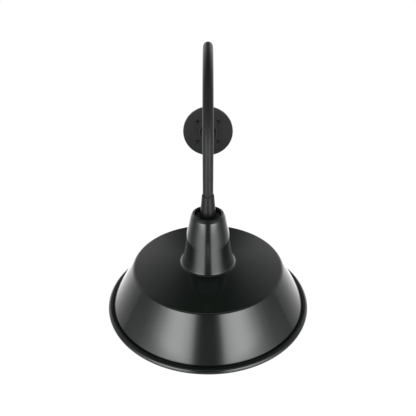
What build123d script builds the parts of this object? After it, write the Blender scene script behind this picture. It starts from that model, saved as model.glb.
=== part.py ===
"""Gooseneck wall sconce: a cast wall plate carries a bent tube, and a spun shade hangs from the tube's end.

Millimetres, +Z up. The wall is the plane y = 0 and the lamp stands out towards -Y. The origin is the centre
of the wall plate's back, and everything below the arm's end is turned about one vertical lamp axis.
"""

import os

from build123d import *

os.makedirs("parts", exist_ok=True)

# ---------------------------------------------------------------- driving dimensions
fit_clearance = 0.1          # radial room between a seated or threaded pair
leaf_clearance = 0.3         # room round the contact leaf, which bends

# wall plate and its gasket
gasket_thickness = 1.5
gasket_margin = 1.0          # the gasket stays this far inside the plate's edge
gasket_hole_radius = 14.0
plate_radius = 60.3
plate_depth = 8.0            # back rim to face
plate_web = 4.0              # metal behind the face
plate_rim_wall = 5.0
plate_edge_round = 1.5
hub_radius = 19.5
hub_nose_radius = 15.0
hub_length = 16.0
hub_root_round = 3.0
hub_nose_round = 2.5
mount_circle_radius = 34.925
mount_hole_count = 4
mount_hole_radius = 2.6
countersink_radius = 4.8

# gooseneck arm
arm_projection = 408.0       # wall to lamp axis
arm_radius = 8.55
arm_wall = 1.6
bend_radius = 70.0           # out of the hub and up
arch_radius = 141.0          # half circle over the top
arch_height = 93.4           # centre of the half circle above the plate's centre
bushing_flange = 1.0
bushing_length = 12.0
bushing_bore_radius = 3.3

# coupling at the arm's lower end
coupling_top = 28.8          # above the plate's centre
coupling_length = 37.5
coupling_top_radius = 10.1
coupling_foot_radius = 13.6
coupling_seal_height = 1.6   # rubber ring round the arm, on the coupling's mouth
coupling_seal_margin = 0.2   # the ring stays this far inside the coupling's edge
arm_engagement = 22.0        # how far the arm enters the coupling
coupling_stop = 3.0          # inner shoulder between arm and nipple
nipple_radius = 6.58
nipple_bore_radius = 4.6

# spun shade, from the recess in its neck down to its rolled rim
sheet = 1.5
neck_gasket_thickness = 2.0
neck_gasket_gap = 0.8        # to the recess's wall
recess_radius = 22.3
recess_depth = 12.0          # to the lip's sharp corner, before it is rounded
recess_foot_round = 2.0
lip_round = 1.8
crown_radius = 28.5
crown_drop = 7.2             # drops are measured from the corner before
crown_round = 8.0
neck_middle_radius = 36.6
neck_middle_drop = 37.3
neck_middle_round = 90.0
neck_foot_radius = 39.4
neck_foot_drop = 52.2
neck_foot_round = 17.0
shoulder_radius = 129.5
shoulder_drop = 6.5
shoulder_round = 12.0
skirt_drop = 68.3
skirt_round = 9.0
rim_drop = 6.3               # skirt's foot to the bead's centre
rim_radius = 178.2           # outside of the bead
bead_radius = 4.0
bead_bite = 0.6              # how far the bead closes on the sheet that it is rolled from

# clamping stack under the neck's top
clamp_washer_thickness = 1.6
clamp_washer_radius = 17.0
lock_washer_thickness = 1.2
lock_washer_radius = 12.0
lock_washer_teeth = 12
lock_washer_tooth_gap = 2.6
lock_nut_thickness = 5.5
lock_nut_flats = 19.0

# lampholder
cap_gap = 2.0                # lock nut to the cap's collar
collar_radius = 9.5
collar_length = 9.0
cap_wall = 1.2
cap_dome_radius = 17.0
cap_dome_height = 4.0
cap_skirt_height = 3.0
body_radius = 22.5
body_head_length = 13.0      # thick upper part with the wiring chamber
body_waist_radius = 19.0
body_mouth_radius = 19.8
body_lip_length = 4.0
body_length = 47.0
chamber_radius = 16.0
chamber_depth = 11.7
web_thickness = 6.0          # porcelain between wiring chamber and screw shell
shell_radius = 13.0          # inside of the screw shell, midway between the thread's crests and roots
shell_wall = 0.5
shell_length = 26.0
shell_collar_step = 0.3      # the plain collar above the thread is this much wider
shell_collar_length = 4.0
shell_flange_hole_radius = 9.4
socket_screw_circle_radius = 19.6

# contact parts on the porcelain web
strap_width = 9.0
strap_length = 10.0
strap_thickness = 0.8
strap_offset = 9.3           # strap's middle from the lamp axis
strap_setback = 2.2          # strap's middle towards the viewer
rivet_radius = 1.2
rivet_head_radius = 1.7
rivet_head_height = 0.6
hot_rivet_x = -6.5
neutral_rivet_x = 11.3
terminal_screw_setback = 4.6
hot_screw_x = -11.3
neutral_screw_x = 8.5
contact_base_thickness = 0.5
leaf_thickness = 0.5
leaf_width = 5.0
leaf_root_end_x = -4.4
leaf_drop = 2.2              # pad below the leaf's fold
leaf_fold_run = 2.4          # sideways reach of the sloping part
leaf_pad_length = 4.4
leaf_tip_rise = 0.6

# leads
lead_radius = 1.3
lead_offset = 1.6            # each side of the arm's centre line
hot_lead_x = 11.8
neutral_lead_x = 7.0
lead_bend_radius = 5.0

# fasteners
machine_screw_radius = 1.5
machine_screw_head_radius = 2.6
machine_screw_head_height = 1.6
socket_screw_length = 10.0
terminal_screw_length = 4.0
ground_screw_radius = 2.0
ground_screw_head_radius = 4.0
ground_screw_head_height = 2.4
ground_screw_length = 3.2
hub_screw_radius = 2.5
coupling_screw_radius = 2.0
cap_screw_radius = 1.5

# ---------------------------------------------------------------- places worked out from them
plate_face = gasket_thickness + plate_depth
hub_face = plate_face + hub_length
hub_screw_depth = plate_face + hub_length / 2
hub_radius_at_screw = (hub_radius + hub_nose_radius) / 2
arm_back = gasket_thickness + bushing_flange
rear_leg = arm_projection - 2 * arch_radius
arm_bore_radius = arm_radius - arm_wall
arm_end = coupling_top - arm_engagement
nipple_top = arm_end - coupling_stop
coupling_foot = coupling_top - coupling_length
coupling_screw_height = (arm_end + coupling_top) / 2
coupling_taper = (coupling_foot_radius - coupling_top_radius) / coupling_length
coupling_radius_at_screw = coupling_top_radius + coupling_taper * (coupling_top - coupling_screw_height)
recess_floor = coupling_foot - neck_gasket_thickness
neck_gasket_radius = recess_radius - neck_gasket_gap
lip = recess_floor + recess_depth
crown = lip - crown_drop
neck_middle = crown - neck_middle_drop
neck_foot = neck_middle - neck_foot_drop
shoulder_edge = neck_foot - shoulder_drop
skirt_foot = shoulder_edge - skirt_drop
rim_height = skirt_foot - rim_drop
rim_floor = rim_height - bead_radius + sheet
bead_center_radius = rim_radius - bead_radius
skirt_radius = bead_center_radius - bead_radius + bead_bite
neck_underside = recess_floor - sheet
clamp_washer_foot = neck_underside - clamp_washer_thickness
lock_washer_foot = clamp_washer_foot - lock_washer_thickness
lock_nut_foot = lock_washer_foot - lock_nut_thickness
cap_top = lock_nut_foot - cap_gap
collar_foot = cap_top - collar_length
cap_shoulder = collar_foot - cap_dome_height
body_top = cap_shoulder - cap_skirt_height
nipple_foot = collar_foot + fit_clearance
web_top = body_top - chamber_depth
web_foot = web_top - web_thickness
body_mouth = body_top - body_length
strap_top = web_top + strap_thickness
shell_outer_radius = shell_radius + shell_wall
collar_outer_radius = shell_outer_radius + shell_collar_step
cavity_radius = collar_outer_radius + fit_clearance
nipple_hole_radius = nipple_radius + fit_clearance
leaf_fold_x = leaf_root_end_x + leaf_clearance + leaf_thickness / 2
leaf_fold_height = web_foot - leaf_clearance - leaf_thickness / 2

wall = Plane.XZ                                            # faces the room, so offsets go towards -Y
plate_section = Plane.XY                                   # x = radius, y = -distance from the wall
lamp_section = Plane(origin=(0, -arm_projection, 0), x_dir=(1, 0, 0), z_dir=(0, -1, 0))
lamp_axis = Axis((0, -arm_projection, 0), (0, 0, 1))


def level(height):
    """Horizontal plane at this height, centred on the lamp axis."""
    return Plane(origin=(0, -arm_projection, height))


def towards_wall(height, distance):
    """Upright plane at this height that faces the wall, this far from the lamp axis."""
    return Plane(origin=(0, distance - arm_projection, height), x_dir=(1, 0, 0), z_dir=(0, 1, 0))


def grub_screw(seat, radius, length):
    """Headless set screw that stands on the plane seat and has a hexagon socket in its outer end."""
    with BuildPart() as screw:
        with BuildSketch(seat):
            Circle(radius)
        extrude(amount=length)
        with BuildSketch(seat.offset(length)):
            RegularPolygon(radius / 2, 6, major_radius=False)
        extrude(amount=-length / 2, mode=Mode.SUBTRACT)
    return screw


def head_screw(seat, places, radius, length, head_radius, head_height):
    """Slotted screws whose heads stand on the plane seat, one at each of the places."""
    with BuildPart() as screws:
        with BuildSketch(seat):
            with Locations(*places):
                Circle(head_radius)
        extrude(amount=head_height)
        chamfer(screws.edges().group_by(Axis(seat.origin, seat.z_dir))[-1], head_height / 4)
        with BuildSketch(seat):
            with Locations(*places):
                Circle(radius)
        extrude(amount=-length)
        with BuildSketch(seat.offset(head_height)):
            with Locations(*places):
                Rectangle(2 * head_radius, head_radius / 3)
        extrude(amount=-head_height / 2, mode=Mode.SUBTRACT)
    return screws


# ---------------------------------------------------------------- wall plate
plate_corners = {
    (arm_radius + fit_clearance, -gasket_thickness): 0,
    (hub_radius, -gasket_thickness): 0,
    (hub_radius, plate_web - plate_face): 0,
    (plate_radius - plate_rim_wall, plate_web - plate_face): 0,
    (plate_radius - plate_rim_wall, -gasket_thickness): 0,
    (plate_radius, -gasket_thickness): 0,
    (plate_radius, -plate_face): plate_edge_round,
    (hub_radius, -plate_face): hub_root_round,
    (hub_nose_radius, -hub_face): hub_nose_round,
    (arm_radius + fit_clearance, -hub_face): 0,
}
with BuildPart() as wall_plate:
    with BuildSketch(plate_section):
        with BuildLine():
            FilletPolyline(*plate_corners, radius=plate_corners.values(), close=True)
        make_face()
    revolve(axis=Axis.Y)
    with Locations(wall.offset(plate_face)):
        with PolarLocations(mount_circle_radius, mount_hole_count, start_angle=180 / mount_hole_count):
            CounterSinkHole(mount_hole_radius, countersink_radius, counter_sink_angle=90)
    with BuildSketch(Plane.XY.offset(-arm_radius)):
        with Locations((0, -hub_screw_depth)):
            Circle(hub_screw_radius + fit_clearance)
    extrude(amount=-hub_radius, mode=Mode.SUBTRACT)
    with BuildSketch(wall.offset(plate_face - plate_web)):
        with Locations((0, mount_circle_radius)):
            Circle(ground_screw_radius + fit_clearance)
    extrude(amount=ground_screw_length, mode=Mode.SUBTRACT)
wall_plate.part.label = "wall_plate"
export_step(wall_plate.part, "parts/wall_plate.step")

with BuildPart() as wall_gasket:
    with BuildSketch(wall):
        Circle(plate_radius - gasket_margin)
        Circle(gasket_hole_radius, mode=Mode.SUBTRACT)
        with PolarLocations(mount_circle_radius, mount_hole_count, start_angle=180 / mount_hole_count):
            Circle(mount_hole_radius, mode=Mode.SUBTRACT)
    extrude(amount=gasket_thickness)
wall_gasket.part.label = "wall_gasket"
export_step(wall_gasket.part, "parts/wall_gasket.step")

ground_seat = Plane(origin=(0, plate_web - plate_face, mount_circle_radius), x_dir=(1, 0, 0), z_dir=(0, 1, 0))
ground_screw = head_screw(ground_seat, [(0, 0)], ground_screw_radius, ground_screw_length,
                          ground_screw_head_radius, ground_screw_head_height)
ground_screw.part.label = "ground_screw"
export_step(ground_screw.part, "parts/ground_screw.step")

hub_screw_seat = Plane(origin=(0, -hub_screw_depth, -arm_radius - fit_clearance), z_dir=(0, 0, -1))
hub_set_screw = grub_screw(hub_screw_seat, hub_screw_radius, hub_radius_at_screw - arm_radius - 1)
hub_set_screw.part.label = "hub_set_screw"
export_step(hub_set_screw.part, "parts/hub_set_screw.step")

# ---------------------------------------------------------------- gooseneck arm
with BuildPart() as gooseneck_arm:
    with BuildLine(Plane.YZ) as arm_path:
        run = Line((-arm_back, 0), (bend_radius - rear_leg, 0))
        bend = JernArc(run @ 1, run % 1, bend_radius, -90)
        rise = Line(bend @ 1, (-rear_leg, arch_height))
        arch = JernArc(rise @ 1, rise % 1, arch_radius, 180)
        drop = Line(arch @ 1, (-arm_projection, arm_end))
    with BuildSketch(Plane(arm_path.line @ 0, z_dir=arm_path.line % 0)):
        Circle(arm_radius)
        Circle(arm_bore_radius, mode=Mode.SUBTRACT)
    sweep()
gooseneck_arm.part.label = "gooseneck_arm"
export_step(gooseneck_arm.part, "parts/gooseneck_arm.step")

with BuildPart() as arm_bushing:
    with BuildSketch(wall.offset(gasket_thickness)):
        Circle(arm_radius)
    extrude(amount=bushing_flange)
    with BuildSketch(wall.offset(arm_back)):
        Circle(arm_bore_radius - fit_clearance)
    extrude(amount=bushing_length)
    with BuildSketch(wall.offset(gasket_thickness)):
        Circle(bushing_bore_radius)
    extrude(amount=bushing_flange + bushing_length, mode=Mode.SUBTRACT)
arm_bushing.part.label = "arm_bushing"
export_step(arm_bushing.part, "parts/arm_bushing.step")

# ---------------------------------------------------------------- coupling and nipple
coupling_corners = [
    (arm_radius + fit_clearance, coupling_top),
    (coupling_top_radius, coupling_top),
    (coupling_foot_radius, coupling_foot),
    (nipple_hole_radius, coupling_foot),
    (nipple_hole_radius, nipple_top),
    (nipple_bore_radius, nipple_top),
    (nipple_bore_radius, arm_end),
    (arm_radius + fit_clearance, arm_end),
]
with BuildPart() as arm_coupling:
    with BuildSketch(lamp_section):
        with BuildLine():
            Polyline(*coupling_corners, close=True)
        make_face()
    revolve(axis=lamp_axis)
    with BuildSketch(towards_wall(coupling_screw_height, arm_radius)):
        Circle(coupling_screw_radius + fit_clearance)
    extrude(amount=coupling_foot_radius, mode=Mode.SUBTRACT)
arm_coupling.part.label = "arm_coupling"
export_step(arm_coupling.part, "parts/arm_coupling.step")

coupling_set_screw = grub_screw(towards_wall(coupling_screw_height, arm_radius + fit_clearance),
                                coupling_screw_radius, coupling_radius_at_screw - arm_radius - 4 * fit_clearance)
coupling_set_screw.part.label = "coupling_set_screw"
export_step(coupling_set_screw.part, "parts/coupling_set_screw.step")

with BuildPart() as coupling_seal:
    with BuildSketch(level(coupling_top)):
        Circle(coupling_top_radius - coupling_seal_margin)
        Circle(arm_radius + fit_clearance, mode=Mode.SUBTRACT)
    extrude(amount=coupling_seal_height)
coupling_seal.part.label = "coupling_seal"
export_step(coupling_seal.part, "parts/coupling_seal.step")

with BuildPart() as nipple:
    with BuildSketch(level(nipple_foot)):
        Circle(nipple_radius)
        Circle(nipple_bore_radius, mode=Mode.SUBTRACT)
    extrude(amount=nipple_top - nipple_foot)
nipple.part.label = "nipple"
export_step(nipple.part, "parts/nipple.step")

with BuildPart() as neck_gasket:
    with BuildSketch(level(recess_floor)):
        Circle(neck_gasket_radius)
        Circle(nipple_hole_radius, mode=Mode.SUBTRACT)
    extrude(amount=neck_gasket_thickness)
    chamfer(neck_gasket.faces().sort_by(Axis.Z)[0].edges().sort_by(SortBy.RADIUS)[-1],
            recess_foot_round - neck_gasket_gap)
neck_gasket.part.label = "neck_gasket"
export_step(neck_gasket.part, "parts/neck_gasket.step")

# ---------------------------------------------------------------- shade
shade_corners = {
    (recess_radius, recess_floor): recess_foot_round,
    (recess_radius, lip): lip_round,
    (crown_radius, crown): crown_round,
    (neck_middle_radius, neck_middle): neck_middle_round,
    (neck_foot_radius, neck_foot): neck_foot_round,
    (shoulder_radius, shoulder_edge): shoulder_round,
    (skirt_radius, skirt_foot): skirt_round,
    (skirt_radius, rim_floor): sheet,
}
with BuildPart() as shade:
    with BuildSketch(lamp_section):
        with BuildLine():
            FilletPolyline((nipple_hole_radius, recess_floor), *shade_corners, (bead_center_radius, rim_floor),
                           radius=shade_corners.values())
            offset(amount=sheet, side=Side.RIGHT)
        make_face()
        with Locations((bead_center_radius, rim_height)):
            Circle(bead_radius)
    revolve(axis=lamp_axis)
shade.part.label = "shade"
export_step(shade.part, "parts/shade.step")

# ---------------------------------------------------------------- clamping stack
with BuildPart() as clamp_washer:
    with BuildSketch(level(clamp_washer_foot)):
        Circle(clamp_washer_radius)
        Circle(nipple_hole_radius, mode=Mode.SUBTRACT)
    extrude(amount=clamp_washer_thickness)
clamp_washer.part.label = "clamp_washer"
export_step(clamp_washer.part, "parts/clamp_washer.step")

with BuildPart() as lock_washer:
    with BuildSketch(level(lock_washer_foot)):
        Circle(lock_washer_radius)
        with PolarLocations(lock_washer_radius, lock_washer_teeth):
            Rectangle(lock_washer_tooth_gap, lock_washer_tooth_gap, mode=Mode.SUBTRACT)
        Circle(nipple_hole_radius, mode=Mode.SUBTRACT)
    extrude(amount=lock_washer_thickness)
lock_washer.part.label = "lock_washer"
export_step(lock_washer.part, "parts/lock_washer.step")

with BuildPart() as lock_nut:
    with BuildSketch(level(lock_nut_foot)):
        RegularPolygon(lock_nut_flats / 2, 6, major_radius=False)
        Circle(nipple_hole_radius, mode=Mode.SUBTRACT)
    extrude(amount=lock_nut_thickness)
lock_nut.part.label = "lock_nut"
export_step(lock_nut.part, "parts/lock_nut.step")

# ---------------------------------------------------------------- lampholder cap and body
socket_screw_places = [(0, socket_screw_circle_radius), (0, -socket_screw_circle_radius)]
cap_corners = {
    (nipple_hole_radius, cap_top): 0,
    (collar_radius, cap_top): 0,
    (collar_radius, collar_foot): cap_wall,
    (cap_dome_radius, cap_shoulder): cap_wall,
    (cap_dome_radius, body_top + cap_wall): 0,
    (body_radius, body_top + cap_wall): 0,
    (body_radius, body_top): 0,
    (cap_dome_radius - cap_wall, body_top): 0,
    (cap_dome_radius - cap_wall, cap_shoulder - cap_wall): 0,
    (nipple_hole_radius + cap_wall, collar_foot - cap_wall): 0,
    (nipple_hole_radius, collar_foot - cap_wall): 0,
}
with BuildPart() as socket_cap:
    with BuildSketch(lamp_section):
        with BuildLine():
            FilletPolyline(*cap_corners, radius=cap_corners.values(), close=True)
        make_face()
    revolve(axis=lamp_axis)
    with BuildSketch(level(body_top)):
        with Locations(*socket_screw_places):
            Circle(machine_screw_radius + fit_clearance)
    extrude(amount=cap_wall, mode=Mode.SUBTRACT)
    with BuildSketch(towards_wall((cap_top + collar_foot) / 2, nipple_radius)):
        Circle(cap_screw_radius + fit_clearance)
    extrude(amount=collar_radius, mode=Mode.SUBTRACT)
socket_cap.part.label = "socket_cap"
export_step(socket_cap.part, "parts/socket_cap.step")

cap_set_screw = grub_screw(towards_wall((cap_top + collar_foot) / 2, nipple_radius + fit_clearance),
                           cap_screw_radius, collar_radius - nipple_radius - 2 * fit_clearance)
cap_set_screw.part.label = "cap_set_screw"
export_step(cap_set_screw.part, "parts/cap_set_screw.step")

body_corners = {
    (chamber_radius, body_top): 0,
    (body_radius, body_top): 0,
    (body_radius, body_top - body_head_length): 2,
    (body_waist_radius, web_foot): 2,
    (body_waist_radius, body_mouth + body_lip_length): 0,
    (body_mouth_radius, body_mouth + body_lip_length - 1): 0,
    (body_mouth_radius, body_mouth): 1,
    (cavity_radius, body_mouth): 0,
    (cavity_radius, web_foot): 0,
    (0, web_foot): 0,
    (0, web_top): 0,
    (chamber_radius, web_top): 0,
}
with BuildPart() as socket_body:
    with BuildSketch(lamp_section):
        with BuildLine():
            FilletPolyline(*body_corners, radius=body_corners.values(), close=True)
        make_face()
    revolve(axis=lamp_axis)
    with BuildSketch(level(body_top)):
        with Locations(*socket_screw_places):
            Circle(machine_screw_radius + fit_clearance)
    extrude(amount=-socket_screw_length, mode=Mode.SUBTRACT)
    with BuildSketch(level(web_top)):
        with Locations((hot_rivet_x, 0), (neutral_rivet_x, 0)):
            Circle(rivet_radius + fit_clearance)
    extrude(amount=-web_thickness, mode=Mode.SUBTRACT)
    with BuildSketch(level(web_top)):
        with Locations((hot_screw_x, -terminal_screw_setback), (neutral_screw_x, -terminal_screw_setback)):
            Circle(machine_screw_radius + fit_clearance)
    extrude(amount=-terminal_screw_length, mode=Mode.SUBTRACT)
socket_body.part.label = "socket_body"
export_step(socket_body.part, "parts/socket_body.step")

socket_screws = head_screw(level(body_top + cap_wall), socket_screw_places, machine_screw_radius,
                           socket_screw_length, machine_screw_head_radius, machine_screw_head_height)
socket_screws.part.label = "socket_screws"
export_step(socket_screws.part, "parts/socket_screws.step")

shell_corners = [
    (shell_flange_hole_radius, web_foot),
    (collar_outer_radius, web_foot),
    (collar_outer_radius, web_foot - shell_collar_length),
    (shell_outer_radius, web_foot - shell_collar_length),
    (shell_outer_radius, web_foot - shell_length),
    (shell_radius, web_foot - shell_length),
    (shell_radius, web_foot - shell_collar_length + shell_wall),
    (shell_radius + shell_collar_step, web_foot - shell_collar_length + shell_wall),
    (shell_radius + shell_collar_step, web_foot - shell_wall),
    (shell_flange_hole_radius, web_foot - shell_wall),
]
with BuildPart() as screw_shell:
    with BuildSketch(lamp_section):
        with BuildLine():
            Polyline(*shell_corners, close=True)
        make_face()
    revolve(axis=lamp_axis)
    with BuildSketch(level(web_foot)):
        with Locations((neutral_rivet_x, 0)):
            Circle(rivet_radius + fit_clearance)
    extrude(amount=-shell_wall, mode=Mode.SUBTRACT)
screw_shell.part.label = "screw_shell"
export_step(screw_shell.part, "parts/screw_shell.step")

# ---------------------------------------------------------------- contact parts
with BuildPart() as contact_base:
    with BuildSketch(level(web_foot)):
        with Locations((leaf_root_end_x, 0)):
            Rectangle(leaf_root_end_x - hot_rivet_x + rivet_head_radius, leaf_width,
                      align=(Align.MAX, Align.CENTER))
        with Locations((hot_rivet_x, 0)):
            Circle(rivet_radius + fit_clearance, mode=Mode.SUBTRACT)
    extrude(amount=-contact_base_thickness)
contact_base.part.label = "contact_base"
export_step(contact_base.part, "parts/contact_base.step")

with BuildPart() as centre_contact:
    with BuildSketch(lamp_section):
        with BuildLine():
            FilletPolyline(
                (leaf_fold_x, leaf_fold_height),
                (leaf_fold_x + leaf_fold_run, leaf_fold_height - leaf_drop),
                (leaf_fold_x + leaf_fold_run + leaf_pad_length, leaf_fold_height - leaf_drop),
                (leaf_fold_x + leaf_fold_run + leaf_pad_length + leaf_tip_rise,
                 leaf_fold_height - leaf_drop + leaf_tip_rise),
                radius=leaf_thickness,
            )
            offset(amount=leaf_thickness / 2)
        make_face()
    extrude(amount=leaf_width / 2, both=True)
centre_contact.part.label = "centre_contact"
export_step(centre_contact.part, "parts/centre_contact.step")


def terminal(side, rivet_x, screw_x):
    """Brass strap in the wiring chamber, with its rivet and screw holes, on one side of the lamp axis."""
    with BuildPart() as strap:
        with BuildSketch(level(web_top)):
            with Locations((side * strap_offset, -strap_setback)):
                RectangleRounded(strap_width, strap_length, strap_thickness)
            with Locations((rivet_x, 0)):
                Circle(rivet_radius + fit_clearance, mode=Mode.SUBTRACT)
            with Locations((screw_x, -terminal_screw_setback)):
                Circle(machine_screw_radius + fit_clearance, mode=Mode.SUBTRACT)
        extrude(amount=strap_thickness)
    return strap


hot_terminal = terminal(-1, hot_rivet_x, hot_screw_x)
hot_terminal.part.label = "hot_terminal"
export_step(hot_terminal.part, "parts/hot_terminal.step")

neutral_terminal = terminal(1, neutral_rivet_x, neutral_screw_x)
neutral_terminal.part.label = "neutral_terminal"
export_step(neutral_terminal.part, "parts/neutral_terminal.step")

with BuildPart() as terminal_rivets:
    rivet_foot = web_foot - contact_base_thickness
    for head_level in (rivet_foot - rivet_head_height, strap_top):
        with BuildSketch(level(head_level)):
            with Locations((hot_rivet_x, 0), (neutral_rivet_x, 0)):
                Circle(rivet_head_radius)
        extrude(amount=rivet_head_height)
    with BuildSketch(level(rivet_foot)):
        with Locations((hot_rivet_x, 0), (neutral_rivet_x, 0)):
            Circle(rivet_radius)
    extrude(amount=strap_top - rivet_foot)
terminal_rivets.part.label = "terminal_rivets"
export_step(terminal_rivets.part, "parts/terminal_rivets.step")

hot_screw = head_screw(level(strap_top), [(hot_screw_x, -terminal_screw_setback)], machine_screw_radius,
                       terminal_screw_length, machine_screw_head_radius, machine_screw_head_height)
hot_screw.part.label = "hot_screw"
export_step(hot_screw.part, "parts/hot_screw.step")

neutral_screw = head_screw(level(strap_top), [(neutral_screw_x, -terminal_screw_setback)], machine_screw_radius,
                           terminal_screw_length, machine_screw_head_radius, machine_screw_head_height)
neutral_screw.part.label = "neutral_screw"
export_step(neutral_screw.part, "parts/neutral_screw.step")


# ---------------------------------------------------------------- leads inside the arm
def lead(side, end_x):
    """Insulated lead on one side of the arm's centre line, from the plate's back to a terminal strap."""
    beside = Plane(origin=(side * lead_offset, 0, 0), x_dir=(0, 1, 0), z_dir=(1, 0, 0))
    with BuildPart() as wire:
        with BuildLine() as route:
            with BuildLine(beside):
                inlet = Line((-gasket_thickness, 0), (bend_radius - rear_leg, 0))
                curve = JernArc(inlet @ 1, inlet % 1, bend_radius, -90)
                climb = Line(curve @ 1, curve @ 1 + (0, arch_height - bend_radius))
                over = JernArc(climb @ 1, climb % 1, arch_radius, 180)
            with BuildLine(lamp_section):
                FilletPolyline(
                    (side * lead_offset, arch_height),
                    (side * lead_offset, collar_foot),
                    (side * end_x, cap_shoulder - (end_x - lead_offset)),
                    (side * end_x, strap_top),
                    radius=lead_bend_radius,
                )
        with BuildSketch(Plane(route.line @ 0, z_dir=route.line % 0)):
            Circle(lead_radius)
        sweep()
    return wire


hot_lead = lead(-1, hot_lead_x)
hot_lead.part.label = "hot_lead"
export_step(hot_lead.part, "parts/hot_lead.step")

neutral_lead = lead(1, neutral_lead_x)
neutral_lead.part.label = "neutral_lead"
export_step(neutral_lead.part, "parts/neutral_lead.step")
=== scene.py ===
"""Finished pieces, finishes and studio of a gooseneck wall sconce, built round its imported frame.

Metres, +Z up. The wall is the plane y = 0, the lamp stands out towards -Y, and everything below the
arm's end is turned about one upright lamp axis. The file is laid out as an add-on and run as a script.
"""

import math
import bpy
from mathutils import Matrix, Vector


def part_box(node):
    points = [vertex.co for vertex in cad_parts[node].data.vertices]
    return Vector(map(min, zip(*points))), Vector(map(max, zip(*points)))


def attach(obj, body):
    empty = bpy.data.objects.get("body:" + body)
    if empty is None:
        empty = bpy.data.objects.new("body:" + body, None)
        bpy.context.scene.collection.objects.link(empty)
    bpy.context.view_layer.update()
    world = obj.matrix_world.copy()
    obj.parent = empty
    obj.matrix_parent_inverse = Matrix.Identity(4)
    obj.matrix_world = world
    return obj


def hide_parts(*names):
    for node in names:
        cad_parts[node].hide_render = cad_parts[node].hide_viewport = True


bl_info = {
    "name": "Gooseneck Wall Sconce",
    "version": (1, 0, 0),
    "blender": (4, 5, 0),
    "location": "View3D > Sidebar > Sconce",
    "description": "Models the finished pieces of a gooseneck wall sconce and its studio",
    "category": "Object",
}

import bmesh
import bpy
from bpy.props import FloatProperty, FloatVectorProperty, IntProperty, PointerProperty
from mathutils import Vector

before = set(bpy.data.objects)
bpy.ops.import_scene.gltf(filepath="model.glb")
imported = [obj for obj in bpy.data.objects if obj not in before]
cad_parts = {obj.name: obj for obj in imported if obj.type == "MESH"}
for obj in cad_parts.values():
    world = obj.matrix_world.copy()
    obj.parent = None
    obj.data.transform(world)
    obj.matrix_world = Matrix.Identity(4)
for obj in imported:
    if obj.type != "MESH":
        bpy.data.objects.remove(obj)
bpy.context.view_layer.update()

MM = 0.001
BODY = "sconce"

# places from the frame
SHADE_LOW, SHADE_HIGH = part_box("shade")
ARM_LOW, ARM_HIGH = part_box("gooseneck_arm")
COUPLING_LOW, COUPLING_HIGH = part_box("arm_coupling")
SET_SCREW_LOW, SET_SCREW_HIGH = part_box("coupling_set_screw")
GASKET_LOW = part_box("neck_gasket")[0]
NIPPLE_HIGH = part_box("nipple")[1]
LAMP_Y = (SHADE_LOW.y + SHADE_HIGH.y) / 2
LAMP_AXIS = Vector((0, LAMP_Y, 0))

# directions, and the rotation that turns a round primitive's face to the wall
SIDEWAYS = (1, 0, 0)
UPRIGHT = (0, 0, 1)
FACING_WALL = (math.pi / 2, 0, 0)

# play round what passes through a piece, how near two places count as one, and how near vertices merge
FIT = 0.1 * MM
TOUCH = 0.01 * MM
DOUBLES = 0.001 * MM

# in degrees: the most that one bevel turns, what each of its segments turns, and the sharpest smooth edge
BEVEL_TURN = 50
SEGMENT_TURN = 6
SMOOTH_ANGLE = 32

# profile of a bevel that is an arc
ARC = 0.5

# segments, sides and steps of what is round
FEWEST_SEGMENTS = 4
TUBE_SIDES = 48
BEND_STEPS = 36
ARCH_STEPS = 96
BEAD_SIDES = 28
COUPLING_STEPS = 96
HOLE_SIDES = 32
PATCH_SIDES = 64
PANEL_STEPS = 48


def length(label, description, default):
    """A length in metres that a user may change."""
    return FloatProperty(name=label, description=description, default=default, unit="LENGTH", precision=5)


def colour(label, description, default):
    """A colour that a user may change."""
    return FloatVectorProperty(name=label, description=description, default=default, subtype="COLOR",
                               size=3, min=0, max=1)


def level(label, description, default):
    """A brightness that a user may change."""
    return FloatProperty(name=label, description=description, default=default, min=0)


# ---- sizes and colours that a user would change
class ShadeSizes(bpy.types.PropertyGroup):
    """Spun shade: corners of its outer profile, from the recess in the neck down to the rolled rim"""

    sheet: length("Sheet", "Thickness of the spun sheet", 1.5 * MM)
    recess_radius: length("Recess radius", "Wall of the recess on top of the neck", 22.3 * MM)
    recess_depth: length("Recess depth", "Depth of the recess below the lip", 9 * MM)
    lip_radius: length("Lip radius", "Outer corner of the lip before rounding", 26.1 * MM)
    lip_drop: length("Lip drop", "Recess's wall down to the lip's outer corner", 0.6 * MM)
    crown_radius: length("Crown radius", "Outer corner of the crown before rounding", 29.2 * MM)
    crown_drop: length("Crown drop", "Lip's outer corner down to the crown's corner", 6.3 * MM)
    neck_middle_radius: length("Neck middle radius", "Radius where the neck's taper changes", 36.6 * MM)
    neck_middle_drop: length("Neck middle drop", "Crown down to the neck's middle", 34.6 * MM)
    neck_foot_radius: length("Neck foot radius", "Radius where the neck starts to flare", 38.4 * MM)
    neck_foot_drop: length("Neck foot drop", "Neck's middle down to where it starts to flare", 31.8 * MM)
    flare_radius: length("Flare radius", "Radius where the flare meets the shoulder", 46 * MM)
    flare_drop: length("Flare drop", "Height of the flare", 22.5 * MM)
    shoulder_radius: length("Shoulder radius", "Outer corner of the flat shoulder", 129.5 * MM)
    shoulder_drop: length("Shoulder drop", "Flare's foot down to the shoulder's edge", 4.4 * MM)
    skirt_drop: length("Skirt drop", "Shoulder's edge down to the skirt's foot", 68.3 * MM)
    rim_drop: length("Rim drop", "Skirt's foot down to the bead's centre", 5.3 * MM)
    bead_radius: length("Bead radius", "Radius of the rolled bead", 5 * MM)
    bead_bite: length("Bead bite", "How far the bead closes on the sheet", 0.6 * MM)
    steps: IntProperty(name="Steps", description="Steps of one whole turn", default=180, min=24)


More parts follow.
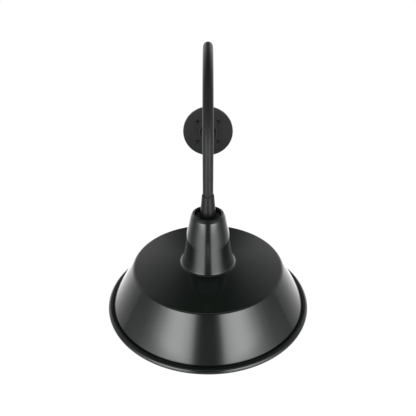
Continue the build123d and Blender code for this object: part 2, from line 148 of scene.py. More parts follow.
class ArmSizes(bpy.types.PropertyGroup):
    """Bent tube: the two bends and the wall"""

    wall: length("Wall", "Wall of the tube", 1.6 * MM)
    bend_radius: length("Bend radius", "Bend out of the hub and up", 70 * MM)
    arch_radius: length("Arch radius", "Half circle over the top", 141 * MM)


class CouplingSizes(bpy.types.PropertyGroup):
    """Turned coupling between the arm and the shade"""

    top_radius: length("Top radius", "Outside at the top", 10.1 * MM)
    foot_radius: length("Foot radius", "Outside at the foot", 13.6 * MM)


class FinishColours(bpy.types.PropertyGroup):
    """Colours of the finishes"""

    enamel_black: colour("Black enamel", "Gloss enamel outside the shade", (0.0075, 0.0105, 0.0085))
    enamel_white: colour("White enamel", "Gloss enamel inside the shade", (0.86, 0.86, 0.83))
    powder_black: colour("Black powder coat", "Satin coat on plate, arm and coupling", (0.013, 0.013, 0.0135))
    porcelain: colour("Porcelain", "Glazed body of the lampholder", (0.84, 0.82, 0.77))
    brass: colour("Brass", "Contacts and screw shell", (0.83, 0.66, 0.33))
    zinc: colour("Zinc", "Plated steel fasteners", (0.62, 0.63, 0.66))
    nickel: colour("Nickel", "Neutral terminal and its screw", (0.68, 0.64, 0.56))
    aluminium: colour("Aluminium", "Pressed cap of the lampholder", (0.74, 0.75, 0.77))
    black_steel: colour("Blackened steel", "Set screws", (0.03, 0.03, 0.035))
    earth_green: colour("Earth green", "Lacquer on the earthing screw", (0.02, 0.2, 0.06))
    foam: colour("Foam", "Gasket behind the plate", (0.03, 0.03, 0.032))
    rubber: colour("Rubber", "Washer in the recess and seal on the coupling", (0.012, 0.012, 0.012))
    plastic: colour("Black plastic", "Bushing and sleeve of the hot lead", (0.02, 0.02, 0.02))
    sleeve_white: colour("White sleeve", "Sleeve of the neutral lead", (0.78, 0.78, 0.75))


class StudioLevels(bpy.types.PropertyGroup):
    """Light levels, where 1 renders white paper as white"""

    room: level("Room", "Plain light from all round", 0.75)
    gloss: level("White surround", "Brightness of the white surround in reflections", 2.2)
    panels: level("Panels", "Brightness of the two tall panels in reflections", 6.1)


class SconceSettings(bpy.types.PropertyGroup):
    """All that a user may change"""

    shade: PointerProperty(type=ShadeSizes)
    arm: PointerProperty(type=ArmSizes)
    coupling: PointerProperty(type=CouplingSizes)
    colours: PointerProperty(type=FinishColours)
    studio: PointerProperty(type=StudioLevels)


# ---- modelling by hand
def deselect_all():
    """Leaves nothing selected, so an operator acts only on what is added next."""
    bpy.ops.object.select_all(action="DESELECT")


def select_only(*pieces):
    """Selects these pieces and nothing else, with the first one active."""
    deselect_all()
    for piece in pieces:
        piece.select_set(True)
    bpy.context.view_layer.objects.active = pieces[0]


def name_active(name):
    """Names the object that an operator has just added and puts its place into its mesh."""
    piece = bpy.context.active_object
    piece.name = name
    piece.data.name = name
    bpy.ops.object.transform_apply(location=True, rotation=True, scale=True)
    return piece


def edit(piece):
    """Opens one piece in edit mode with nothing else selected."""
    select_only(piece)
    bpy.ops.object.mode_set(mode="EDIT")


def leave_edit():
    """Goes back to object mode."""
    bpy.ops.object.mode_set(mode="OBJECT")


def select_mesh():
    """Selects the whole mesh, in edit mode."""
    bpy.ops.mesh.select_all(action="SELECT")


def select_verts(piece, test):
    """Selects the vertices whose place passes the test, in edit mode."""
    bpy.ops.mesh.select_mode(type="VERT")
    bpy.ops.mesh.select_all(action="DESELECT")
    mesh = bmesh.from_edit_mesh(piece.data)
    for vert in mesh.verts:
        vert.select = test(vert.co)
    mesh.select_flush(True)
    bmesh.update_edit_mesh(piece.data)


def add_ring(sides, radius, place, fill="NOTHING"):
    """Adds a circle that faces the wall, as edges alone or filled."""
    bpy.ops.mesh.primitive_circle_add(vertices=sides, radius=radius, fill_type=fill, location=place,
                                      rotation=FACING_WALL)


def push(step):
    """Extrudes what is selected by one straight step."""
    bpy.ops.mesh.extrude_region_move(TRANSFORM_OT_translate={"value": step})


def spin(angle, center, axis, steps):
    """Spins what is selected round the axis by an angle in degrees."""
    bpy.ops.mesh.spin(steps=steps, angle=math.radians(angle), center=center, axis=axis)


def close_up(piece, outside):
    """Merges doubles and turns the faces outwards, so that the one nearest a point outside faces it."""
    bpy.ops.mesh.select_mode(type="VERT")
    select_mesh()
    bpy.ops.mesh.remove_doubles(threshold=DOUBLES)
    bpy.ops.mesh.normals_make_consistent(inside=False)
    mesh = bmesh.from_edit_mesh(piece.data)
    nearest = min(mesh.faces, key=lambda face: (face.calc_center_median() - outside).length)
    if nearest.normal.dot(outside - nearest.calc_center_median()) < 0:
        bpy.ops.mesh.flip_normals()


def split_sharp(corners, closed):
    """Splits each corner that turns far into several on the same arc, because a bevel rounds those truer."""
    split = []
    for index, (place, radius) in enumerate(corners):
        place = Vector(place)
        at_end = not closed and index in (0, len(corners) - 1)
        if radius <= 0 or at_end:
            split.append((place, radius))
            continue
        arriving = (place - Vector(corners[index - 1][0])).normalized()
        leaving = (Vector(corners[(index + 1) % len(corners)][0]) - place).normalized()
        turn = arriving.angle(leaving)
        count = math.ceil(math.degrees(turn) / BEVEL_TURN)
        outward = (arriving - leaving).normalized()
        center = place - outward * radius / math.cos(turn / 2)
        spoke = place - arriving * radius * math.tan(turn / 2) - center
        reach = 1 / math.cos(turn / count / 2)
        for part in range(count):
            angle = (part + 0.5) * turn / count
            turned = spoke * math.cos(angle) + arriving * radius * math.sin(angle)
            split.append((center + turned * reach, radius))
    return split


def draw_chain(name, corners, closed):
    """Draws edges from corner to corner and rounds each corner by its radius.

    corners are (place, radius) pairs.
    """
    corners = split_sharp(corners, closed)
    places = [place for place, _ in corners]
    deselect_all()
    bpy.ops.mesh.primitive_plane_add(size=MM, location=places[0])
    chain = name_active(name)
    edit(chain)
    select_mesh()
    bpy.ops.mesh.merge(type="CENTER")
    for start, end in zip(places, places[1:]):
        push(end - start)
    if closed:
        ends = (places[0], places[-1])
        select_verts(chain, lambda co: min((co - end).length for end in ends) < TOUCH)
        bpy.ops.mesh.edge_face_add()
    for index, (here, radius) in enumerate(corners):
        if radius <= 0:
            continue
        before = (places[index - 1] - here).normalized()
        after = (places[(index + 1) % len(places)] - here).normalized()
        turn = math.pi - before.angle(after)
        segments = max(FEWEST_SEGMENTS, round(math.degrees(turn) / SEGMENT_TURN))
        select_verts(chain, lambda co: (co - here).length < TOUCH)
        bpy.ops.mesh.bevel(affect="VERTICES", offset_type="OFFSET", offset=radius * math.tan(turn / 2),
                           segments=segments, profile=ARC, clamp_overlap=False)
    return chain


def spin_whole(steps):
    """Spins the whole mesh once round the lamp axis."""
    select_mesh()
    spin(360, LAMP_AXIS, UPRIGHT, steps)


def lamp_turned(name, corners, steps, closed=True):
    """Turns a profile of (radius, height, rounding) corners about the lamp axis."""
    corners = [((radius, LAMP_Y, height), rounding) for radius, height, rounding in corners]
    piece = draw_chain(name, corners, closed)
    spin_whole(steps)
    return piece


def smooth(piece):
    """Smooths the shading except at sharp edges."""
    select_only(piece)
    bpy.ops.object.shade_smooth_by_angle(angle=math.radians(SMOOTH_ANGLE), keep_sharp_edges=False)


def apply_modifier(modifier):
    """Applies a modifier to its own piece."""
    select_only(modifier.id_data)
    bpy.ops.object.modifier_apply(modifier=modifier.name)


def cut(piece, cutter):
    """Cuts the cutter's shape out of the piece and removes the cutter."""
    knife = piece.modifiers.new("cut", "BOOLEAN")
    knife.operation = "DIFFERENCE"
    knife.solver = "EXACT"
    knife.object = cutter
    apply_modifier(knife)
    bpy.data.objects.remove(cutter)


def place_piece(piece, node):
    """Gives a finished piece its place in the frame, and lets it stand for a node."""
    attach(piece, BODY)
    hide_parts(node)


# ---- finishes
def add_node(tree, kind, **values):
    """Adds a node and sets its properties."""
    node = tree.nodes.new(kind)
    for name, value in values.items():
        setattr(node, name, value)
    return node


def feed(tree, value, socket):
    """Gives a socket a number, or a link from another socket."""
    if isinstance(value, bpy.types.NodeSocket):
        tree.links.new(value, socket)
    else:
        socket.default_value = value


def calculate(tree, operation, *values):
    """One Math node, whose inputs are sockets or numbers."""
    node = add_node(tree, "ShaderNodeMath", operation=operation)
    for value, socket in zip(values, node.inputs):
        feed(tree, value, socket)
    return node.outputs[0]


def new_material(name):
    """A material and its node tree."""
    material = bpy.data.materials.new(name)
    material.use_nodes = True
    return material, material.node_tree


# fineness of the two noises that the surface grain is made of, and the middle of a noise
MOTTLE_DETAIL = 3
GRAIN_DETAIL = 4
NOISE_MIDDLE = 0.5


def grain_group():
    """Surface variation that every finish shares: mottled colour and roughness, and a fine grain height."""
    group = bpy.data.node_groups.get("surface_grain")
    if group:
        return group
    group = bpy.data.node_groups.new("surface_grain", "ShaderNodeTree")
    sockets = [
        ("Colour", "INPUT", "NodeSocketColor"), ("Tint", "INPUT", "NodeSocketColor"),
        ("Roughness", "INPUT", "NodeSocketFloat"), ("Roughness Spread", "INPUT", "NodeSocketFloat"),
        ("Mottle Scale", "INPUT", "NodeSocketFloat"), ("Grain Scale", "INPUT", "NodeSocketFloat"),
        ("Colour", "OUTPUT", "NodeSocketColor"), ("Roughness", "OUTPUT", "NodeSocketFloat"),
        ("Height", "OUTPUT", "NodeSocketFloat"),
    ]
    for name, side, kind in sockets:
        group.interface.new_socket(name=name, in_out=side, socket_type=kind)
    inside = add_node(group, "NodeGroupInput").outputs
    outside = add_node(group, "NodeGroupOutput").inputs
    place = add_node(group, "ShaderNodeTexCoord").outputs["Object"]
    link = group.links.new

    def noise(scale, detail):
        """A noise on the piece itself."""
        node = add_node(group, "ShaderNodeTexNoise")
        node.inputs["Detail"].default_value = detail
        link(place, node.inputs["Vector"])
        link(inside[scale], node.inputs["Scale"])
        return node.outputs["Fac"]

    mottle = noise("Mottle Scale", MOTTLE_DETAIL)
    mix = add_node(group, "ShaderNodeMix", data_type="RGBA")
    link(mottle, mix.inputs["Factor"])
    link(inside["Colour"], mix.inputs["A"])
    link(inside["Tint"], mix.inputs["B"])
    link(mix.outputs["Result"], outside["Colour"])
    either_way = calculate(group, "SUBTRACT", mottle, NOISE_MIDDLE)
    roughness = calculate(group, "MULTIPLY_ADD", either_way, inside["Roughness Spread"], inside["Roughness"])
    link(roughness, outside["Roughness"])
    link(noise("Grain Scale", GRAIN_DETAIL), outside["Height"])
    return group


def finish(name, base, tint, roughness, spread, mottle, grain, relief, metallic=0.0, ior=1.5):
    """A Principled finish whose colour, roughness and relief come from the shared grain.

    mottle and grain are patterns per metre, and relief is the grain's height in metres.
    """
    material, tree = new_material(name)
    shader = tree.nodes["Principled BSDF"]
    surface = add_node(tree, "ShaderNodeGroup", node_tree=grain_group())
    for socket, value in (("Colour", (*base, 1)), ("Tint", (*tint, 1)), ("Roughness", roughness),
                          ("Roughness Spread", spread), ("Mottle Scale", mottle), ("Grain Scale", grain)):
        surface.inputs[socket].default_value = value
    bump = add_node(tree, "ShaderNodeBump")
    bump.inputs["Distance"].default_value = relief
    tree.links.new(surface.outputs["Colour"], shader.inputs["Base Color"])
    tree.links.new(surface.outputs["Roughness"], shader.inputs["Roughness"])
    tree.links.new(surface.outputs["Height"], bump.inputs["Height"])
    tree.links.new(bump.outputs["Normal"], shader.inputs["Normal"])
    shader.inputs["Metallic"].default_value = metallic
    shader.inputs["IOR"].default_value = ior
    material.diffuse_color = (*base, 1)
    return material


def shaded(base, factor):
    """The same colour, lighter or darker."""
    return tuple(min(1.0, channel * factor) for channel in base)


def black_enamel(base):
    """Gloss black enamel with a faint green tint, slightly uneven as sprayed enamel is."""
    return finish("black_enamel", base, shaded(base, 1.3), roughness=0.11, spread=0.03, mottle=14, grain=420,
                  relief=0.002 * MM, ior=1.6)


def white_enamel(base):
    """Gloss white enamel inside the shade."""
    return finish("white_enamel", base, shaded(base, 0.96), roughness=0.16, spread=0.04, mottle=20,
                  grain=500, relief=0.004 * MM)


def powder_coat(name, base, roughness, grain=900, relief=0.012 * MM, ior=1.4):
    """Satin black powder coat with a very fine pebble."""
    return finish(name, base, shaded(base, 1.25), roughness, spread=0.06, mottle=30, grain=grain,
                  relief=relief, ior=ior)


def plated(name, base, roughness):
    """Bright plated or drawn metal."""
    return finish(name, base, shaded(base, 0.86), roughness, spread=0.12, mottle=160, grain=1500,
                  relief=0.006 * MM, metallic=1.0)


def moulded(name, base, roughness, relief=0.01 * MM):
    """Moulded plastic, rubber or foam."""
    return finish(name, base, shaded(base, 1.3), roughness, spread=0.1, mottle=120, grain=2200, relief=relief)


def glazed_porcelain(base):
    """Glazed body of the lampholder."""
    return finish("glazed_porcelain", base, shaded(base, 0.95), roughness=0.14, spread=0.05, mottle=60,
                  grain=300, relief=0.02 * MM, ior=1.55)


def green_earth_screw(base):
    """Green lacquer that marks the earthing screw."""
    return finish("green_earth_screw", base, tint=(0.03, 0.28, 0.09), roughness=0.3, spread=0.1,
                  mottle=200, grain=1500, relief=0.004 * MM)


def black_oxide_steel(base):
    """Blackened steel of the set screws."""
    return finish("black_oxide_steel", base, tint=(0.06, 0.055, 0.06), roughness=0.38, spread=0.15,
                  mottle=180, grain=1600, relief=0.006 * MM, metallic=0.8)


def white_lead_sleeve(base):
    """White insulation of the neutral lead."""
    return finish("white_lead_sleeve", base, tint=(0.7, 0.7, 0.66), roughness=0.42, spread=0.1,
                  mottle=90, grain=1200, relief=0.01 * MM)


# ---- pieces
# roundings of the shade's corners, from the recess's foot and brink down to the skirt's foot
RECESS_ROUNDING = 2 * MM
BRINK_ROUNDING = 1.2 * MM
LIP_ROUNDING = 3.5 * MM
CROWN_ROUNDING = 11 * MM
NECK_MIDDLE_ROUNDING = 90 * MM
NECK_FOOT_ROUNDING = 150 * MM
FLARE_ROUNDING = 5 * MM
SHOULDER_ROUNDING = 6 * MM
SKIRT_ROUNDING = 9 * MM

# roundings of the coupling's upper and lower edge
COUPLING_TOP_ROUNDING = 0.2 * MM
COUPLING_FOOT_ROUNDING = 0.4 * MM
# how much less the radius of its passage for the leads is than the nipple's
COUPLING_LEDGE = 2 * MM


def shade_profile(sizes, skirt_radius):
    """Outer profile of the shade from its hole to its rim, as (radius, height, rounding) corners."""
    floor = GASKET_LOW.z
    lip = floor + sizes.recess_depth
    lip_edge = lip - sizes.lip_drop
    crown = lip_edge - sizes.crown_drop
    neck_middle = crown - sizes.neck_middle_drop
    neck_foot = neck_middle - sizes.neck_foot_drop
    flare_foot = neck_foot - sizes.flare_drop
    shoulder = flare_foot - sizes.shoulder_drop
    skirt_foot = shoulder - sizes.skirt_drop
    return [
        (NIPPLE_HIGH.x + FIT, floor, 0),
        (sizes.recess_radius, floor, RECESS_ROUNDING),
        (sizes.recess_radius, lip, BRINK_ROUNDING),
        (sizes.lip_radius, lip_edge, LIP_ROUNDING),
        (sizes.crown_radius, crown, CROWN_ROUNDING),
        (sizes.neck_middle_radius, neck_middle, NECK_MIDDLE_ROUNDING),
        (sizes.neck_foot_radius, neck_foot, NECK_FOOT_ROUNDING),
        (sizes.flare_radius, flare_foot, FLARE_ROUNDING),
        (sizes.shoulder_radius, shoulder, SHOULDER_ROUNDING),
        (skirt_radius, skirt_foot, SKIRT_ROUNDING),
        (skirt_radius, skirt_foot - sizes.rim_drop, 0),
    ]


class SCONCE_OT_shade(bpy.types.Operator):
    """Spin the shade from one sheet and roll its rim"""

    bl_idname = "sconce.shade"
    bl_label = "Shade"

    def execute(self, context):
        sizes = context.scene.sconce.shade
        colours = context.scene.sconce.colours
        bead_center = SHADE_HIGH.x - sizes.bead_radius
        skirt_radius = bead_center - sizes.bead_radius + sizes.bead_bite
        corners = shade_profile(sizes, skirt_radius)
        shade = lamp_turned("spun_shade", corners, sizes.steps, closed=False)
        beside_neck = Vector((2 * sizes.flare_radius, 0, GASKET_LOW.z))
        close_up(shade, LAMP_AXIS + beside_neck)
        leave_edit()
        sheet = shade.modifiers.new("sheet", "SOLIDIFY")
        sheet.thickness = sizes.sheet
        sheet.offset = -1
        sheet.use_even_offset = True
        sheet.material_offset = 1
        shade.data.materials.append(black_enamel(colours.enamel_black))
        shade.data.materials.append(white_enamel(colours.enamel_white))
        apply_modifier(sheet)

        bead_height = corners[-1][1]
        deselect_all()
        add_ring(BEAD_SIDES, sizes.bead_radius, (bead_center, LAMP_Y, bead_height))
        bead = name_active("rolled_bead")
        edit(bead)
        spin_whole(sizes.steps)
        beside_rim = Vector((2 * bead_center, 0, bead_height))
        close_up(bead, LAMP_AXIS + beside_rim)
        leave_edit()
        bead.data.materials.append(shade.data.materials[0])
        select_only(shade, bead)
        bpy.ops.object.join()
        smooth(shade)
        place_piece(shade, "shade")
        return {"FINISHED"}


class SCONCE_OT_arm(bpy.types.Operator):
    """Bend the gooseneck arm out of one tube"""

    bl_idname = "sconce.arm"
    bl_label = "Gooseneck arm"

    def execute(self, context):
        sizes = context.scene.sconce.arm
        radius = ARM_HIGH.x
        rear_leg = LAMP_Y + 2 * sizes.arch_radius
        hub_run = ARM_HIGH.y - rear_leg - sizes.bend_radius
        bend_y = rear_leg + sizes.bend_radius
        arch_y = rear_leg - sizes.arch_radius
        arch_height = ARM_HIGH.z - radius - sizes.arch_radius
        mouth = (0, ARM_HIGH.y, 0)
        deselect_all()
        add_ring(TUBE_SIDES, radius, mouth)
        tube = name_active("gooseneck_tube")
        edit(tube)
        add_ring(TUBE_SIDES, radius - sizes.wall, mouth)
        select_mesh()
        push((0, -hub_run, 0))
        spin(90, (0, bend_y, sizes.bend_radius), SIDEWAYS, BEND_STEPS)
        push((0, 0, arch_height - sizes.bend_radius))
        spin(-180, (0, arch_y, arch_height), SIDEWAYS, ARCH_STEPS)
        push((0, 0, ARM_LOW.z - arch_height))
        select_verts(tube, lambda co: abs(co.y - ARM_HIGH.y) < TOUCH)
        bpy.ops.mesh.bridge_edge_loops()
        select_verts(tube, lambda co: abs(co.z - ARM_LOW.z) < TOUCH and co.y < LAMP_Y + 2 * radius)
        bpy.ops.mesh.bridge_edge_loops()
        beside_arch = Vector((10 * radius, 0, arch_height))
        close_up(tube, LAMP_AXIS + beside_arch)
        leave_edit()
        smooth(tube)
        coat = powder_coat("arm_powder_coat", context.scene.sconce.colours.powder_black, roughness=0.42)
        tube.data.materials.append(coat)
        place_piece(tube, "gooseneck_arm")
        return {"FINISHED"}


class SCONCE_OT_coupling(bpy.types.Operator):
    """Turn the tapered coupling that sits on the arm's end"""

    bl_idname = "sconce.coupling"
    bl_label = "Coupling"

    def execute(self, context):
        sizes = context.scene.sconce.coupling
        top, foot = COUPLING_HIGH.z, COUPLING_LOW.z
        arm_bore = ARM_HIGH.x + FIT
        nipple_bore = NIPPLE_HIGH.x + FIT
        passage = NIPPLE_HIGH.x - COUPLING_LEDGE
        corners = [
            (arm_bore, top, 0),
            (sizes.top_radius, top, COUPLING_TOP_ROUNDING),
            (sizes.foot_radius, foot, COUPLING_FOOT_ROUNDING),
            (nipple_bore, foot, 0),
            (nipple_bore, NIPPLE_HIGH.z, 0),
            (passage, NIPPLE_HIGH.z, 0),
            (passage, ARM_LOW.z, 0),
            (arm_bore, ARM_LOW.z, 0),
        ]
        coupling = lamp_turned("turned_coupling", corners, COUPLING_STEPS)
        beside_coupling = Vector((10 * sizes.foot_radius, 0, (top + foot) / 2))
        close_up(coupling, LAMP_AXIS + beside_coupling)
        leave_edit()
        coat = powder_coat("coupling_paint", context.scene.sconce.colours.powder_black, roughness=0.36,
                           relief=0.004 * MM, ior=1.33)
        coupling.data.materials.append(coat)
        deselect_all()
        hole_radius = (SET_SCREW_HIGH.x - SET_SCREW_LOW.x) / 2 + FIT
        hole_middle = (0, SET_SCREW_LOW.y + sizes.foot_radius / 2, (SET_SCREW_LOW.z + SET_SCREW_HIGH.z) / 2)
        bpy.ops.mesh.primitive_cylinder_add(vertices=HOLE_SIDES, radius=hole_radius, depth=sizes.foot_radius,
                                            location=hole_middle, rotation=FACING_WALL)
        cut(coupling, name_active("set_screw_hole"))
        smooth(coupling)
        place_piece(coupling, "arm_coupling")
        return {"FINISHED"}


def fittings(colours):
    """Finishes, each with the nodes that it goes on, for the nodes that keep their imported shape."""
    return (
        (powder_coat("plate_powder_coat", colours.powder_black, roughness=0.36, grain=700,
                     relief=0.02 * MM, ior=1.45),
         ("wall_plate",)),
        (moulded("closed_cell_foam", colours.foam, roughness=0.85, relief=0.06 * MM),
         ("wall_gasket",)),
        (moulded("washer_rubber", colours.rubber, roughness=0.7, relief=0.05 * MM),
         ("neck_gasket", "coupling_seal")),
        (moulded("bushing_plastic", colours.plastic, roughness=0.45),
         ("arm_bushing",)),
        (green_earth_screw(colours.earth_green),
         ("ground_screw",)),
        (black_oxide_steel(colours.black_steel),
         ("hub_set_screw", "coupling_set_screw")),
        (plated("zinc_plate", colours.zinc, roughness=0.3),
         ("nipple", "clamp_washer", "lock_washer", "lock_nut", "cap_set_screw", "socket_screws")),
        (plated("pressed_aluminium", colours.aluminium, roughness=0.36),
         ("socket_cap",)),
        (glazed_porcelain(colours.porcelain),
         ("socket_body",)),
        (plated("rolled_brass", colours.brass, roughness=0.24),
         ("contact_base", "centre_contact", "hot_terminal", "terminal_rivets", "hot_screw", "screw_shell")),
        (plated("nickel_on_brass", colours.nickel, roughness=0.26),
         ("neutral_terminal", "neutral_screw")),
        (moulded("black_lead_sleeve", colours.plastic, roughness=0.42),
         ("hot_lead",)),
        (white_lead_sleeve(colours.sleeve_white),
         ("neutral_lead",)),
    )


class SCONCE_OT_fittings(bpy.types.Operator):
    """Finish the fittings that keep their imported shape"""

    bl_idname = "sconce.fittings"
    bl_label = "Fittings"

    def execute(self, context):
        for material, nodes in fittings(context.scene.sconce.colours):
            for node in nodes:
                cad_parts[node].material_slots[0].material = material
        return {"FINISHED"}


# ---- studio
# the camera as fitted to the photograph's outlines: metres, degrees up from straight down, and millimetres
CAMERA_PLACE = (0, -1.0546, 0.3571)
CAMERA_TILT = 61.55
CAMERA_LENS = 38.94
CAMERA_SENSOR = 36

# the paper below, and the dark disc of painted shade that the plate's screw holes show
FLOOR_HEIGHT = -1.0
FLOOR_SIZE = 12
FLOOR_GREY = 0.85
FLOOR_GLOW = 1.04
FLOOR_GLOW_SHARE = 0.97
MATT = 0.9
PATCH_RADIUS = 45 * MM
PAINTED_SHADE_GREY = 0.03

# a light panel: distance from the lamp axis, heights in metres, and angles in degrees from the camera's side
PANEL_DISTANCE = 0.8
PANEL_LOW, PANEL_HIGH = -0.62, 0.21
PANEL_INNER, PANEL_OUTER = 8, 92
PANEL_TINT = (0.965, 1.0, 0.975)
# its brightness by that angle, above and below
PANEL_UPPER = [(8, 0.05), (12, 0.13), (14, 0.3), (17, 0.6), (22, 0.85), (29, 1.0), (37, 1.0),
               (44, 0.79), (52, 0.47), (61, 0.22), (70, 0.115), (80, 0.075), (92, 0.06)]
PANEL_LOWER = [(8, 0.03), (12, 0.12), (14, 0.25), (18, 0.42), (23, 0.475), (37, 0.45), (44, 0.4),
               (52, 0.31), (61, 0.2), (70, 0.12), (80, 0.085), (92, 0.06)]
# heights over which the lower brightness turns into the upper one, and over which the top fades
PANEL_HALVES = [(-0.14, 0), (-0.06, 1)]
PANEL_TOP = [(0.18, 1), (0.21, 0.3)]

# brightness of the room in reflections, by how far a direction points to the wall, sideways and up
ROOM_WALLWARD = [(-0.12, 0.22), (0.0, 0.22), (0.2, 0.25), (0.3, 0.29), (0.4, 0.35), (0.5, 0.43),
                 (0.6, 0.53), (0.7, 0.66), (0.8, 0.8), (1.0, 1.0)]
ROOM_LOW = [(-0.4, 1), (-0.15, 0)]
ROOM_SIDEWAYS = [(0.0, 0.03), (0.08, 0.05), (0.12, 0.11), (0.16, 0.24), (0.2, 0.36), (0.3, 0.6), (0.6, 1.0)]
ROOM_UPWARD = [(0.0, 1.0), (0.3, 0.95), (0.47, 0.85), (0.56, 0.65), (0.68, 0.55), (0.8, 0.3), (1.0, 0.05)]
# the faint glow between the panels, and the faint patch high above them
GAP_WALLWARD = [(-0.7, 1), (-0.3, 0)]
GAP_UPWARD = [(0.3, 0.09), (0.42, 0.02)]
CEILING_UPWARD = [(0.74, 0), (0.82, 1), (0.9, 1), (0.96, 0)]
CEILING_EDGE = -0.15
CEILING_LEVEL = 0.22


def ramp(tree, source, stops):
    """A curve of (input, output) stops, with straight runs between them and level ends."""
    node = add_node(tree, "ShaderNodeFloatCurve")
    low, high = stops[0][0], stops[-1][0]
    span = add_node(tree, "ShaderNodeMapRange")
    span.inputs["From Min"].default_value = low
    span.inputs["From Max"].default_value = high
    tree.links.new(source, span.inputs["Value"])
    tree.links.new(span.outputs["Result"], node.inputs["Value"])
    curve = node.mapping.curves[0]
    node.mapping.extend = "HORIZONTAL"
    while len(curve.points) < len(stops):
        # a new point starts in the middle and is moved below
        curve.points.new(0.5, 0.5)
    for point, (at, value) in zip(curve.points, stops):
        point.location = ((at - low) / (high - low), value)
        point.handle_type = "VECTOR"
    node.mapping.update()
    return node.outputs["Value"]


def split_axes(tree, vector):
    """The three components of a vector."""
    node = add_node(tree, "ShaderNodeSeparateXYZ")
    tree.links.new(vector, node.inputs[0])
    return node.outputs


def mix_shaders(tree, share, first, second):
    """The first shader, and the second one by its share."""
    node = add_node(tree, "ShaderNodeMixShader")
    for socket, source in zip(node.inputs, (share, first, second)):
        tree.links.new(source, socket)
    return node.outputs[0]


def panel_glow(strength):
    """Glow of a light panel: soft inner edge, long outer falloff, dimmer low down and at its top edge."""
    glow, tree = new_material("panel_cloth")
    tree.nodes.clear()
    place = add_node(tree, "ShaderNodeTexCoord").outputs["Object"]
    across, wallward, height = split_axes(tree, place)
    side = calculate(tree, "ABSOLUTE", across)
    front = calculate(tree, "SUBTRACT", LAMP_Y, wallward)
    azimuth = calculate(tree, "DEGREES", calculate(tree, "ARCTAN2", side, front))
    halves = add_node(tree, "ShaderNodeMix")
    tree.links.new(ramp(tree, height, PANEL_HALVES), halves.inputs["Factor"])
    tree.links.new(ramp(tree, azimuth, PANEL_LOWER), halves.inputs["A"])
    tree.links.new(ramp(tree, azimuth, PANEL_UPPER), halves.inputs["B"])
    brightness = calculate(tree, "MULTIPLY", halves.outputs["Result"], ramp(tree, height, PANEL_TOP))
    emission = add_node(tree, "ShaderNodeEmission")
    emission.inputs["Color"].default_value = (*PANEL_TINT, 1)
    tree.links.new(calculate(tree, "MULTIPLY", brightness, strength), emission.inputs["Strength"])
    output = add_node(tree, "ShaderNodeOutputMaterial")
    tree.links.new(emission.outputs[0], output.inputs["Surface"])
    return glow


def light_panel(name, side, glow):
    """A tall curved panel round one side of the lamp, which only reflections see."""
    angle = math.radians(PANEL_INNER)
    foot = LAMP_AXIS + PANEL_DISTANCE * Vector((side * math.sin(angle), -math.cos(angle), 0))
    edge = [(foot + Vector((0, 0, height)), 0) for height in (PANEL_LOW, PANEL_HIGH)]
    panel = draw_chain(name, edge, closed=False)
    select_mesh()
    spin(side * (PANEL_INNER - PANEL_OUTER), LAMP_AXIS, UPRIGHT, PANEL_STEPS)
    leave_edit()
    panel.data.materials.append(glow)
    panel.visible_camera = False
    panel.visible_diffuse = False
    panel.visible_shadow = False


def background(tree, strength):
    """White light of one strength."""
    node = add_node(tree, "ShaderNodeBackground")
    node.inputs["Color"].default_value = (1, 1, 1, 1)
    feed(tree, strength, node.inputs["Strength"])
    return node.outputs[0]


def white_room(plain, gloss):
    """World that is white to the camera, lights the lamp plainly and is a graded white room in its gloss.

    The room is brightest towards the wall, and there low down or far to a side. On the camera's side a
    faint glow and a faint patch high up are added.
    """
    world = bpy.data.worlds.new("white_room")
    world.use_nodes = True
    tree = world.node_tree
    tree.nodes.clear()
    path = add_node(tree, "ShaderNodeLightPath").outputs
    direction = add_node(tree, "ShaderNodeTexCoord").outputs["Generated"]
    across, wallward, upward = split_axes(tree, direction)
    sideways = calculate(tree, "ABSOLUTE", across)
    aside = ramp(tree, sideways, ROOM_SIDEWAYS)
    spread = calculate(tree, "MULTIPLY", aside, ramp(tree, upward, ROOM_UPWARD))
    lit = calculate(tree, "MAXIMUM", ramp(tree, upward, ROOM_LOW), spread)
    paper = calculate(tree, "MULTIPLY", ramp(tree, wallward, ROOM_WALLWARD), lit)
    gap = calculate(tree, "MULTIPLY", ramp(tree, wallward, GAP_WALLWARD), ramp(tree, upward, GAP_UPWARD))
    in_front = calculate(tree, "LESS_THAN", wallward, CEILING_EDGE)
    ceiling = calculate(tree, "MULTIPLY", in_front, CEILING_LEVEL)
    patch = calculate(tree, "MULTIPLY", ramp(tree, upward, CEILING_UPWARD), ceiling)
    room = calculate(tree, "ADD", calculate(tree, "ADD", paper, gap), patch)
    reflected = background(tree, calculate(tree, "MULTIPLY", room, gloss))
    unseen = mix_shaders(tree, path["Is Glossy Ray"], background(tree, plain), reflected)
    seen = mix_shaders(tree, path["Is Camera Ray"], unseen, background(tree, 1.0))
    output = add_node(tree, "ShaderNodeOutputWorld")
    tree.links.new(seen, output.inputs["Surface"])
    return world


def matt_grey(name, grey):
    """A matt grey material, its node tree and its shader."""
    material, tree = new_material(name)
    shader = tree.nodes["Principled BSDF"]
    shader.inputs["Base Color"].default_value = (grey, grey, grey, 1)
    shader.inputs["Roughness"].default_value = MATT
    return material, tree, shader.outputs[0]


def white_floor():
    """Floor paper that the camera sees as plain white, and that lights the lamp as lit paper does."""
    paper, tree, lit = matt_grey("floor_paper", FLOOR_GREY)
    glow = add_node(tree, "ShaderNodeEmission")
    glow.inputs["Strength"].default_value = FLOOR_GLOW
    path = add_node(tree, "ShaderNodeLightPath")
    share = calculate(tree, "MULTIPLY", path.outputs["Is Camera Ray"], FLOOR_GLOW_SHARE)
    surface = tree.nodes["Material Output"].inputs["Surface"]
    tree.links.new(mix_shaders(tree, share, lit, glow.outputs[0]), surface)
    return paper


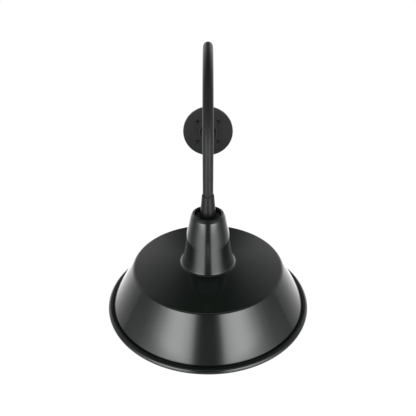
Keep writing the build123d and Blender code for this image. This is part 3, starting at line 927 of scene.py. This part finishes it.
def painted_shade_disc():
    """A dark disc of painted shade behind the plate, seen through the screw holes from the front and clear
    from behind.
    """
    wall, tree, lit = matt_grey("painted_shade_disc", PAINTED_SHADE_GREY)
    side = add_node(tree, "ShaderNodeNewGeometry")
    clear = add_node(tree, "ShaderNodeBsdfTransparent")
    surface = tree.nodes["Material Output"].inputs["Surface"]
    tree.links.new(mix_shaders(tree, side.outputs["Backfacing"], lit, clear.outputs[0]), surface)
    return wall


class SCONCE_OT_studio(bpy.types.Operator):
    """Set the white room, the floor, the light panels and the camera"""

    bl_idname = "sconce.studio"
    bl_label = "Studio"

    def execute(self, context):
        scene = context.scene
        levels = scene.sconce.studio
        scene.view_settings.view_transform = "Standard"
        scene.world = white_room(levels.room, levels.gloss)
        deselect_all()
        bpy.ops.mesh.primitive_plane_add(size=FLOOR_SIZE, location=(0, LAMP_Y, FLOOR_HEIGHT))
        floor = name_active("floor")
        floor.data.materials.append(white_floor())
        floor.visible_glossy = False
        deselect_all()
        # a dark disc behind the plate: painted shade that the screw holes show
        add_ring(PATCH_SIDES, PATCH_RADIUS, (0, TOUCH, 0), fill="NGON")
        patch = name_active("hole_shade_patch")
        patch.data.materials.append(painted_shade_disc())
        patch.visible_diffuse = False
        patch.visible_glossy = False
        patch.visible_shadow = False
        glow = panel_glow(levels.panels)
        light_panel("left_panel", -1, glow)
        light_panel("right_panel", 1, glow)
        deselect_all()
        bpy.ops.object.camera_add(location=CAMERA_PLACE, rotation=(math.radians(CAMERA_TILT), 0, 0))
        camera = context.active_object
        camera.data.sensor_width = CAMERA_SENSOR
        camera.data.lens = CAMERA_LENS
        scene.camera = camera
        return {"FINISHED"}


class SCONCE_PT_panel(bpy.types.Panel):
    """Lists the steps that build the sconce, and its sizes, colours and light levels"""

    bl_idname = "SCONCE_PT_panel"
    bl_label = "Gooseneck Wall Sconce"
    bl_space_type = "VIEW_3D"
    bl_region_type = "UI"
    bl_category = "Sconce"

    def draw(self, context):
        for step in STEPS:
            self.layout.operator(step.bl_idname)
        settings = context.scene.sconce
        for part in (settings.shade, settings.arm, settings.coupling, settings.colours, settings.studio):
            box = self.layout.box()
            for name in part.__annotations__:
                box.prop(part, name)


SETTINGS = (ShadeSizes, ArmSizes, CouplingSizes, FinishColours, StudioLevels, SconceSettings)
STEPS = (SCONCE_OT_shade, SCONCE_OT_arm, SCONCE_OT_coupling, SCONCE_OT_fittings, SCONCE_OT_studio)
CLASSES = (*SETTINGS, *STEPS, SCONCE_PT_panel)


def register():
    """Adds the settings, the steps and the panel."""
    for cls in CLASSES:
        bpy.utils.register_class(cls)
    bpy.types.Scene.sconce = PointerProperty(type=SconceSettings)


def unregister():
    """Takes them away again."""
    del bpy.types.Scene.sconce
    for cls in reversed(CLASSES):
        bpy.utils.unregister_class(cls)


def main():
    """Builds every piece and the studio."""
    register()
    bpy.ops.sconce.shade()
    bpy.ops.sconce.arm()
    bpy.ops.sconce.coupling()
    bpy.ops.sconce.fittings()
    bpy.ops.sconce.studio()


if __name__ == "__main__":
    main()
